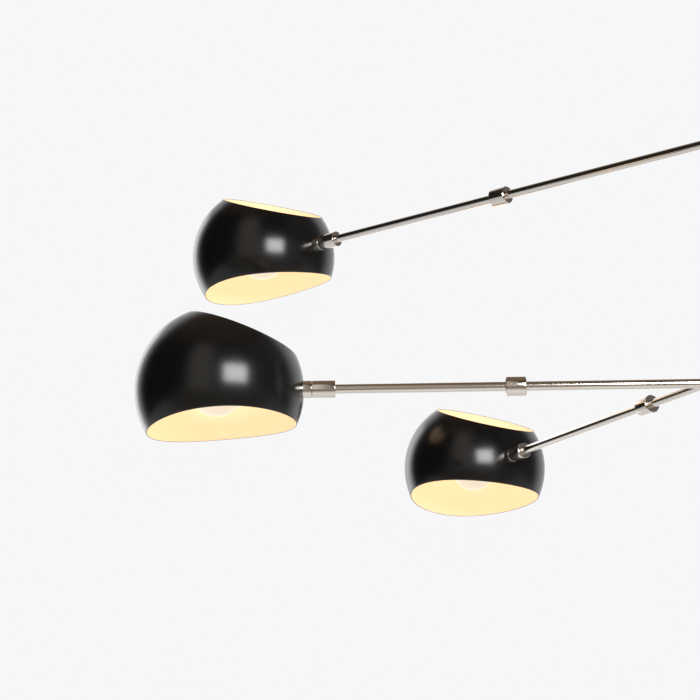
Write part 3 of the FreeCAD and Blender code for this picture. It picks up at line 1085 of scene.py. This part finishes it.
@dataclass(frozen=True)
class LampHolder:
    """Phenolic lamp holder with a rolled lip and shallow grip grooves."""

    end: float = 79.05 * MM
    mouth: float = 30.05 * MM
    radius: float = 16.0 * MM
    wall: float = 1.8 * MM
    chamfer: float = 2.0 * MM
    edge: float = 0.6 * MM
    floor: float = 4.0 * MM
    floor_edge: float = 0.4 * MM
    grooves: int = 4
    first_groove: float = 14.0 * MM
    groove_pitch: float = 5.0 * MM
    groove_width: float = 1.6 * MM
    groove_depth: float = 0.7 * MM
    groove_edge: float = 0.3 * MM

    def outline(self, stud_radius: float) -> List[Point]:
        """Outline of the holder about the stud.

        Args:
            stud_radius: The stud's radius.

        Returns:
            Closed outline of (along, radius) points.
        """
        end, mouth, outer = -self.end, -self.mouth, self.radius
        inner, floor = outer - self.wall, end + self.floor
        points = [
            (end, stud_radius, 0.0), (end, outer - self.chamfer, self.edge),
            (end + self.chamfer, outer, self.edge),
        ]
        for groove in range(self.grooves):
            along = end + self.first_groove + self.groove_pitch * groove
            points += [
                (along, outer, self.groove_edge),
                (along + self.groove_width / 2, outer - self.groove_depth, self.groove_edge),
                (along + self.groove_width, outer, self.groove_edge),
            ]
        points += [
            (mouth, outer, self.edge), (mouth, inner, self.edge), (floor, inner, self.floor_edge),
            (floor, stud_radius, 0.0),
        ]
        return rounded(points)


@dataclass(frozen=True)
class Bulb:
    """Round bulb whose ball flows into its neck, and its threaded cap."""

    radius: float = 26.0 * MM
    offset: float = 2.95 * MM
    ball_turn: float = math.radians(128)
    ball_steps: int = 40
    neck_steps: int = 8
    neck_bend: Point = (3.0 * MM, 0.6 * MM)
    neck_inset: float = 0.3 * MM
    foot_length: float = 1.0 * MM
    foot_inset: float = 0.6 * MM
    cap_radius: float = 13.0 * MM
    cap_start: float = 26.05 * MM
    cap_length: float = 22.0 * MM
    cap_lip: float = 1.0 * MM
    cap_edge: float = 0.3 * MM
    threads: int = 5
    thread_start: float = 2.2 * MM
    thread_pitch: float = 3.6 * MM
    thread_depth: float = 0.9 * MM
    thread_edge: float = 0.7 * MM
    back_chamfer: float = 2.0 * MM
    back_edge: float = 0.8 * MM
    contact_radius: float = 4.5 * MM
    contact_length: float = 3.0 * MM
    contact_edge: float = 0.2 * MM

    def glass(self) -> List[Point]:
        """Outline of the ball, its neck and the foot that stands in the cap.

        Returns:
            (along, radius) points from the ball's top to the axis inside the cap.
        """
        neck = -self.cap_start
        outline = [(self.offset + self.radius, 0.0)]
        for step in range(1, self.ball_steps + 1):
            turn = self.ball_turn * step / self.ball_steps
            outline.append((self.offset + self.radius * math.cos(turn), self.radius * math.sin(turn)))
        last = Vector(outline[-1])
        bend = Vector((neck + self.neck_bend[0], self.cap_radius + self.neck_bend[1]))
        goal = Vector((neck, self.cap_radius - self.neck_inset))
        shares = [step / self.neck_steps for step in range(1, self.neck_steps + 1)]
        outline += [bow(last, bend, goal, share) for share in shares]
        foot = neck - self.foot_length
        return outline + [(foot, self.cap_radius - self.foot_inset), (foot, 0.0)]

    def cap(self) -> List[Point]:
        """Outline of the cap with its rolled threads and end contact.

        Returns:
            (along, radius) points from the cap's lip to the axis at its contact.
        """
        neck, radius = -self.cap_start, self.cap_radius
        points = [(neck, radius - self.cap_lip, 0.0), (neck, radius, self.cap_edge)]
        for thread in range(self.threads):
            along = neck - self.thread_start - self.thread_pitch * thread
            points += [
                (along, radius, self.thread_edge),
                (along - self.thread_pitch / 2, radius - self.thread_depth, self.thread_edge),
            ]
        back = neck - self.cap_length
        end = back - self.contact_length
        points += [
            (back, radius - self.back_chamfer, self.back_edge),
            (back, self.contact_radius, self.contact_edge),
            (end, self.contact_radius, self.back_edge), (end, 0.0, 0.0),
        ]
        return rounded(points)


# ---------------------------------------------------------------- an arm
@dataclass
class SwingArm:
    """One arm's new pieces: rods, collar, swivel, lamp holder, bulb and shade."""

    name: ArmName
    collar_inboard: float
    roll: float
    shade: BallShade = field(default_factory=BallShade)
    rods: Rods = Rods()
    swivel: Swivel = Swivel()
    holder: LampHolder = LampHolder()
    bulb: Bulb = Bulb()

    def __post_init__(self) -> None:
        """Find the arm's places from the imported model's joints."""
        joints = {joint["name"]: joint for joint in frame["joints"]}
        centre = Vector(joints[self.node("roll")]["pos_m"])
        along = centre - Vector(joints[self.node("swing")]["pos_m"])
        self.reach = along.length
        turn = Matrix.Rotation(math.atan2(along.y, along.x), 4, "Z")
        self.at_shade = Matrix.Translation(centre) @ turn
        self.rolled = self.at_shade @ Matrix.Rotation(-self.roll, 4, "X")

    def node(self, piece: str) -> str:
        """Name of one of this arm's nodes, joints or bodies."""
        return piece + "_" + self.name.value

    def build(self, dresser: Dresser) -> None:
        """Make and place every piece of the arm.

        Args:
            dresser: What places the pieces.
        """
        middle = -self.collar_inboard
        inner_end = -(self.reach - self.rods.pole_gap)
        outer_end = -self.swivel.barrel_end + self.rods.barrel_seat
        gap, sides = self.rods.half_gap, self.rods.segments
        inner, outer = self.rods.rod(inner_end, middle - gap), self.rods.rod(middle + gap, outer_end)
        self.turn(dresser, "inner_rod", inner, Finish.NICKEL, segments=sides)
        self.turn(dresser, "outer_rod", outer, Finish.NICKEL, segments=sides)
        self.turn(dresser, "arm_collar", self.rods.collar(middle), Finish.NICKEL)
        self.turn(dresser, "barrel", self.swivel.barrel(self.rods.radius), Finish.NICKEL)
        ring = self.swivel.ring(self.shade.radius)
        self.turn(dresser, "swivel_ring", ring, Finish.NICKEL, rolls=True)
        self.turn(dresser, "socket", self.holder.outline(self.swivel.stud_radius), Finish.PHENOLIC)
        self.turn(dresser, "bulb_glass", self.bulb.glass(), Finish.GLASS, closed=False)
        self.turn(dresser, "bulb_cap", self.bulb.cap(), Finish.CAP, closed=False)
        # The inner face takes the cream enamel with its painted glow.
        black, cream_with_painted_glow = dresser.finishes.of(Finish.ENAMEL), dresser.finishes.cream_with_painted_glow
        ball = self.shade.build(self.node("shade") + "_look", black, cream_with_painted_glow)
        dresser.fit(ball, self.rolled, self.node("shade"), self.node("shade"), Finish.ENAMEL)

    def turn(self, dresser: Dresser, piece: str, outline: Sequence[Point], finish: Finish,
             rolls: bool = False, segments: int = 96, closed: bool = True) -> None:
        """Turn a piece from its outline and place it.

        Args:
            dresser: What places it.
            piece: Its name, without the arm's.
            outline: (along, radius) points in the arm's frame.
            finish: Its finish.
            rolls: Whether it turns with the shade.
            segments: Faces round the axis.
            closed: Whether the outline's last point joins its first.
        """
        mesh = turned_mesh(self.node(piece) + "_look", outline, segments, closed)
        place, body = (self.rolled, "shade") if rolls else (self.at_shade, "arm")
        dresser.fit(mesh, place, self.node(body), self.node(piece), finish)


# ---------------------------------------------------------------- the pole
@dataclass(frozen=True)
class PoleTubes:
    """The pole's two tubes and its plunger, turned finely so that their long highlights run straight."""

    tube_radius: float = 12.7 * MM
    tube_bore: float = 11.7 * MM
    plunger_radius: float = 9.525 * MM
    plunger_bore: float = 8.025 * MM
    flange_radius: float = 11.3 * MM
    flange_height: float = 6.0 * MM
    edge: float = 0.15 * MM

    def build(self, dresser: Dresser) -> None:
        """Make and place the tubes and the plunger.

        Args:
            dresser: What places the pieces.
        """
        upright = Matrix.Rotation(math.radians(-90.0), 4, "Y")
        for node in ("lower_tube", "upper_tube"):
            bottom, top = self.ends(node)
            outline = tube_outline(bottom, top, self.tube_radius, self.tube_bore, self.edge)
            tube = turned_mesh(node + "_look", outline, closed=True)
            dresser.fit(tube, upright, "pole", node, Finish.NICKEL)
        plunger = turned_mesh("plunger_rod_look", self.plunger(*self.ends("plunger_rod")))
        dresser.fit(plunger, upright, "plunger", "plunger_rod", Finish.NICKEL)

    def ends(self, node: str) -> Point:
        """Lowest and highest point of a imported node."""
        low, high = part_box(node)
        return low.z, high.z

    def plunger(self, bottom: float, top: float) -> List[Point]:
        """Outline of the plunger: a flange with the tube on it.

        Args:
            bottom: Height of the flange's underside.
            top: Height of the tube's end.

        Returns:
            (along, radius) points from the axis below to the axis inside.
        """
        step = bottom + self.flange_height
        return rounded([
            (bottom, 0.0, 0.0), (bottom, self.flange_radius, self.edge),
            (step, self.flange_radius, self.edge), (step, self.plunger_radius, 0.0),
            (top - EDGE_SUPPORT * self.edge, self.plunger_radius, 0.0),
            (top, self.plunger_radius, self.edge), (top, self.plunger_bore, 0.0),
            (step, self.plunger_bore, 0.0), (step, 0.0, 0.0),
        ])


@dataclass(frozen=True)
class TopSpring:
    """The spring in the pole's top, which shortens as the plunger goes in."""

    node: str = "tension_spring"
    joint: str = "plunger_slide"
    travel: float = 45.0 * MM
    wire: float = 1.2 * MM
    turns: int = 14
    steps: int = 40
    sides: int = 14

    def build(self, dresser: Dresser) -> None:
        """Wind the spring in its packed place.

        Args:
            dresser: What places the piece.
        """
        low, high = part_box(self.node)
        piece = self.wind(low.z + self.wire, high.z - self.wire, (high.x - low.x) / 2 - self.wire)
        dresser.fit(piece, Matrix.Identity(4), "pole", self.node, Finish.SPRING)
        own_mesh(piece)

    def wind(self, start: float, end: float, radius: float) -> bpy.types.Object:
        """Sweep the wire round the pole's axis.

        Args:
            start: Height of the wire's centre at the first turn.
            end: Height of the wire's centre at the last turn.
            radius: From the axis to the wire's centre.

        Returns:
            The spring as a smooth mesh.
        """
        bm = bmesh.new()
        uv_layer = bm.loops.layers.uv.new("wound")
        count = self.turns * self.steps
        slope = math.atan2(end - start, math.tau * radius * self.turns)
        lean, rise = math.sin(slope), math.cos(slope)
        rings = []
        for step in range(count + 1):
            angle = math.tau * step / self.steps
            outward = Vector((math.cos(angle), math.sin(angle), 0.0))
            across = Vector((math.sin(angle) * lean, -math.cos(angle) * lean, rise))
            centre = outward * radius + Vector((0.0, 0.0, start + (end - start) * step / count))
            turns = [math.tau * side / self.sides for side in range(self.sides)]
            rings.append([
                bm.verts.new(centre + (outward * math.cos(turn) + across * math.sin(turn)) * self.wire)
                for turn in turns
            ])
        run = math.tau * radius / self.steps
        for step, (first, second) in enumerate(zip(rings, rings[1:])):
            for side in range(self.sides):
                after = (side + 1) % self.sides
                face = bm.faces.new((first[side], first[after], second[after], second[side]))
                spread = ((side, step), (side + 1, step), (side + 1, step + 1), (side, step + 1))
                for loop, (around, along) in zip(face.loops, spread):
                    loop[uv_layer].uv = (around / self.sides, along * run)
        for ring in (rings[0], rings[-1]):
            bm.faces.new(ring)
        return finish_mesh(self.node + "_look", bm)


@dataclass(frozen=True)
class PackedLooks:
    """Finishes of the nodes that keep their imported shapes."""

    pole_nodes: Tuple[Tuple[Finish, Tuple[str, ...]], ...] = (
        (Finish.NICKEL, ("stop_collars", "plunger_guide", "hub_mid", "hub_low", "hub_top")),
        (Finish.STEEL, ("foot_spigot", "pole_coupler", "collar_screws", "spring_seat")),
        (Finish.ENAMEL, ("foot_cup", "ceiling_cup", "switch_housing")),
        (Finish.RUBBER, ("floor_pad", "ceiling_pad")),
        (Finish.PHENOLIC, ("switch_knob",)),
        (Finish.NYLON, ("cord_bushing",)),
    )
    arm_nodes: Tuple[Tuple[Finish, Tuple[str, ...]], ...] = (
        (Finish.STEEL, ("friction_screw", "stud", "lock_nut")),
        (Finish.BRASS, ("screw_shell",)),
    )

    def build(self, finishes: Finishes) -> None:
        """Put each node's material in all its slots.

        Args:
            finishes: The lamp's materials.
        """
        chosen = [(node, finish) for finish, nodes in self.pole_nodes for node in nodes]
        for arm in ArmName:
            chosen += [
                (node + "_" + arm.value, finish) for finish, nodes in self.arm_nodes for node in nodes
            ]
        for node, finish in chosen:
            material = finishes.of(finish)
            for slot in frame["nodes"][node].material_slots:
                slot.material = material
            log.info("%s takes %s", node, material.name)


# ---------------------------------------------------------------- studio
@dataclass(frozen=True)
class Surround:
    """A soft-edged part of the studio's surroundings, as polished and glossy surfaces mirror it."""

    colour: Colour
    azimuth: Tuple[float, float]
    elevation: Tuple[float, float]
    softness: float
    behind: bool = False

    def mask(self, sheet: NodeSheet, front: bpy.types.NodeSocket, back: bpy.types.NodeSocket,
             rise: bpy.types.NodeSocket) -> bpy.types.NodeSocket:
        """Add the nodes of the part's mask.

        Args:
            sheet: The world's node sheet.
            front: Degrees from the studio's front, positive to the right.
            back: Degrees from the studio's back, positive to the right.
            rise: Degrees above level.

        Returns:
            Socket that is 1 inside the part and 0 outside.
        """
        turn = back if self.behind else front
        product: object = 1.0
        for value, (low, high) in ((turn, self.azimuth), (rise, self.elevation)):
            starts = sheet.remap(value, low - self.softness, low + self.softness, 0.0, 1.0)
            ends = sheet.remap(value, high - self.softness, high + self.softness, 1.0, 0.0)
            product = sheet.maths("MULTIPLY", sheet.maths("MULTIPLY", starts, ends), product)
        return product


@dataclass(frozen=True)
class Softbox:
    """Rectangular lamp aimed at a point; its size is in metres and its power in watts."""

    name: str
    place: Place
    target: Place
    size: Point
    power: float

    def build(self) -> None:
        """Add the lamp."""
        data = bpy.data.lights.new(self.name, "AREA")
        data.shape = "RECTANGLE"
        data.size, data.size_y = self.size
        data.energy = self.power
        lamp = bpy.data.objects.new(self.name, data)
        lamp.location = self.place
        aim = Vector(self.target) - Vector(self.place)
        lamp.rotation_euler = aim.to_track_quat("-Z", "Y").to_euler()
        bpy.context.scene.collection.objects.link(lamp)


@dataclass(frozen=True)
class Studio:
    """Pale floor that fades into white, a softbox, weak panels behind, and a dim room in front."""

    floor_size: float = 14.0
    floor_fade: Point = (1.1, 3.1)
    floor_front: Point = (-2.0, -0.6)
    floor_colour: Colour = (0.80, 0.80, 0.81)
    floor_mirrored: Colour = (0.36, 0.31, 0.25)
    floor_roughness: float = 0.85
    floor_roughness_change: float = 0.02
    white: Colour = (0.93, 0.93, 0.94)
    ambient: Colour = (0.62, 0.62, 0.63)
    dark_room: Colour = (0.014, 0.013, 0.012)
    softboxes: Tuple[Softbox, ...] = (
        Softbox("key_softbox", (0.30, -1.91, 1.98), (-0.45, 0.25, 1.65), (1.16, 0.88), 44.0),
        Softbox("backdrop_panel", (-0.9, 3.2, 1.8), (-0.5, 0.3, 1.65), (3.0, 3.6), 12.0),
        Softbox("backdrop_wing", (-1.98, 2.53, 1.8), (-0.70, 1.75, 1.8), (1.10, 3.4), 11.5),
    )
    surrounds: Tuple[Surround, ...] = (
        Surround((0.13, 0.125, 0.12), (48.0, 150.0), (-60.0, 60.0), 12.0),
        Surround((0.17, 0.118, 0.076), (-200.0, 200.0), (56.0, 120.0), 10.0),
        Surround((0.42, 0.36, 0.285), (-55.0, 100.0), (-120.0, -8.0), 8.0),
        Surround((0.64, 0.58, 0.52), (-40.0, -6.5), (-26.0, 50.0), 7.0),
        Surround((0.93, 0.93, 0.94), (-49.0, 60.0), (-120.0, 52.0), 9.0, behind=True),
    )

    def build(self) -> None:
        """Make the floor, the world and the lamps."""
        self.build_floor()
        self.build_world()
        for softbox in self.softboxes:
            softbox.build()

    def build_floor(self) -> None:
        """Large pale floor: it keeps the lamp's shadow, fades into white, and mirrors darker in front."""
        bpy.ops.mesh.primitive_plane_add(size=self.floor_size)
        floor = bpy.context.object
        floor.name = "studio_floor"
        material = Material("studio_floor_paint")
        cover = material.cover(
            Dark=self.floor_colour, Light=self.floor_colour, Dust=0.0, Roughness=self.floor_roughness,
            Roughness_Change=self.floor_roughness_change,
        )
        sheet = material.sheet
        rays = sheet.add("ShaderNodeLightPath")
        whereabouts = sheet.add("ShaderNodeTexCoord").outputs["Object"]
        place = sheet.add("ShaderNodeSeparateXYZ")
        sheet.link(whereabouts, place.inputs[0])
        away = sheet.add("ShaderNodeVectorMath", operation="LENGTH")
        sheet.link(whereabouts, away.inputs[0])
        front = sheet.remap(place.outputs["Y"], *self.floor_front, 1.0, 0.0)
        mirrored = sheet.maths("MULTIPLY", front, rays.outputs["Is Glossy Ray"])
        paint = sheet.mix(mirrored, cover.outputs["Colour"], self.floor_mirrored)
        far = sheet.remap(away.outputs["Value"], *self.floor_fade, 0.0, 1.0)
        faded = sheet.maths("MULTIPLY", far, rays.outputs["Is Camera Ray"])
        material.feed(sheet.mix(faded, paint, BLACK), "Base Color")
        material.feed(sheet.mix(faded, BLACK, self.white), "Emission Color")
        material.set(Emission_Strength=1.0, Specular_IOR_Level=0.0)
        floor.data.materials.append(material.data)

    def build_world(self) -> None:
        """World light: even on surfaces, white for the camera, the studio's parts in reflections."""
        world = bpy.data.worlds.new("studio")
        bpy.context.scene.world = world
        world.use_nodes = True
        sheet = NodeSheet(world.node_tree)
        background = world.node_tree.nodes["Background"]
        rays = sheet.add("ShaderNodeLightPath")
        direction = sheet.add("ShaderNodeSeparateXYZ")
        sheet.link(sheet.add("ShaderNodeTexCoord").outputs["Generated"], direction.inputs[0])
        across, onward, upward = direction.outputs
        degree = math.degrees(1.0)
        toward = sheet.maths("MULTIPLY", onward, -1.0)
        front = sheet.maths("MULTIPLY", sheet.maths("ARCTAN2", across, toward), degree)
        back = sheet.maths("MULTIPLY", sheet.maths("ARCTAN2", across, onward), degree)
        rise = sheet.maths("MULTIPLY", sheet.maths("ARCSINE", upward), degree)
        mirrored: object = self.dark_room
        for part in self.surrounds:
            mirrored = sheet.mix(part.mask(sheet, front, back, rise), mirrored, part.colour)
        plain = sheet.mix(rays.outputs["Is Glossy Ray"], self.ambient, mirrored)
        seen = sheet.maths("MAXIMUM", rays.outputs["Is Camera Ray"], rays.outputs["Is Transmission Ray"])
        sheet.link(sheet.mix(seen, plain, self.white), background.inputs["Color"])


def main() -> None:
    """Build the camera, the materials, each arm, the pole's looks and the studio."""
    logging.basicConfig(level=logging.INFO, format="%(message)s")
    bpy.context.scene.view_settings.view_transform = "Standard"
    PhotoCamera().build()
    finishes = Finishes()
    dresser = Dresser(finishes)
    arms = (
        SwingArm(ArmName.MID, collar_inboard=296.7 * MM, roll=math.radians(0.8)),
        SwingArm(ArmName.LOW, collar_inboard=372.0 * MM, roll=math.radians(-3.0)),
        SwingArm(ArmName.TOP, collar_inboard=357.5 * MM, roll=math.radians(9.0)),
    )
    for arm in arms:
        arm.build(dresser)
    PoleTubes().build(dresser)
    TopSpring().build(dresser)
    PackedLooks().build(finishes)
    Studio().build()
    log.info("%d pieces made", dresser.made)


if __name__ == "__main__":
    main()
